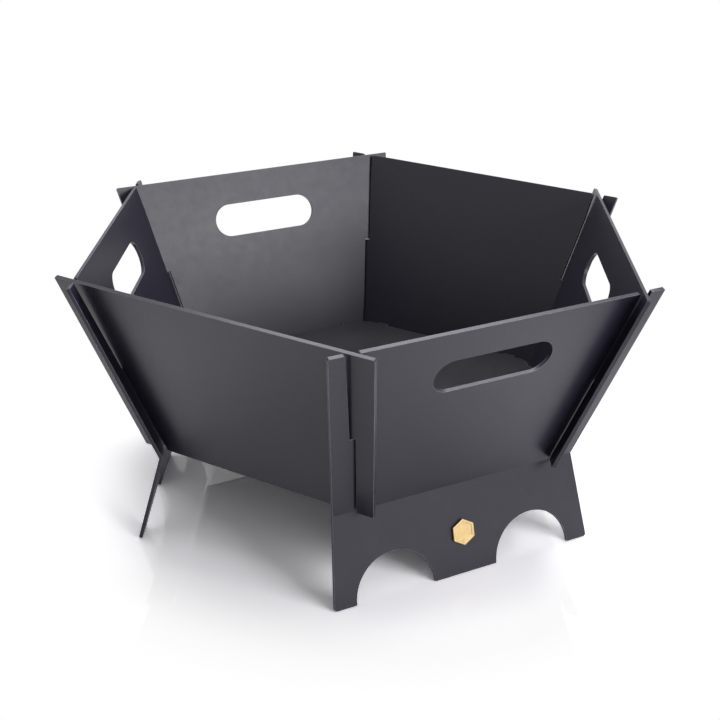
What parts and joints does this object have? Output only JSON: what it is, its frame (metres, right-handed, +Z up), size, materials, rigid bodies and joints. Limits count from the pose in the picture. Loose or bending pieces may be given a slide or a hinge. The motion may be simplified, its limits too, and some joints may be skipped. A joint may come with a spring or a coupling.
{
  "type": "flat-pack fire pit",
  "caption": "Portable six-sided steel fire pit of slotted interlocking plates, flared bowl with oblong hand holes, loose floor plate and splayed sheet legs with arched cut-outs.",
  "frame": {"origin": "on the ground, midway between the outermost points of the bowl, on the bowl's own upright axis", "axes": "+Z up; -Y towards the corner nearest the camera; +X towards the viewer's right"},
  "size_m": [0.4478, 0.4998, 0.2243],
  "materials": {
    "coated_steel": "matt anthracite powder coat",
    "floor_steel": "matt heat-resistant black coat",
    "brass": "polished, lightly lacquered"
  },
  "bodies": {
    "front_leg": {"front_leg_panel": "coated_steel", "badge_plate": "brass"},
    "left_leg": {"left_leg_panel": "coated_steel"},
    "rear_leg": {"rear_leg_panel": "coated_steel"},
    "front_side": {"front_side_panel": "coated_steel"},
    "back_side": {"back_side_panel": "coated_steel"},
    "right_side": {"right_side_panel": "coated_steel"},
    "floor_plate": {"floor_plate": "floor_steel"}
  },
  "joints": [
    {"name": "drop_in_panel_lift", "type": "slide", "parent": "front_leg", "child": "back_side", "axis": [0, 0, 1], "range_m": [0, 0.07]},
    {"name": "front_side_slide", "type": "slide", "parent": "front_leg", "child": "front_side", "axis": [0, -0.3739, 0.9275], "range_m": [0, 0.07549]},
    {"name": "right_side_slide", "type": "slide", "parent": "front_leg", "child": "right_side", "axis": [0.3238, -0.1869, 0.9275], "range_m": [0, 0.07549]},
    {"name": "left_leg_slide", "type": "slide", "parent": "front_leg", "child": "left_leg", "axis": [0.866, -0.5, 0], "range_m": [0, 0.02823]},
    {"name": "rear_leg_slide", "type": "slide", "parent": "front_leg", "child": "rear_leg", "axis": [0, -1, 0], "range_m": [0, 0.02823]},
    {"name": "floor_plate_slide", "type": "slide", "parent": "front_leg", "child": "floor_plate", "axis": [0.1648, -0.2854, 0.9441], "range_m": [0, 0.04944]}
  ],
  "couplings": [
    {"joint": "front_side_slide", "follows": "drop_in_panel_lift", "ratio": 1.0782},
    {"joint": "right_side_slide", "follows": "drop_in_panel_lift", "ratio": 1.0782},
    {"joint": "left_leg_slide", "follows": "drop_in_panel_lift", "ratio": 0.40312},
    {"joint": "rear_leg_slide", "follows": "drop_in_panel_lift", "ratio": 0.40312},
    {"joint": "floor_plate_slide", "follows": "drop_in_panel_lift", "ratio": 0.70613}
  ]
}
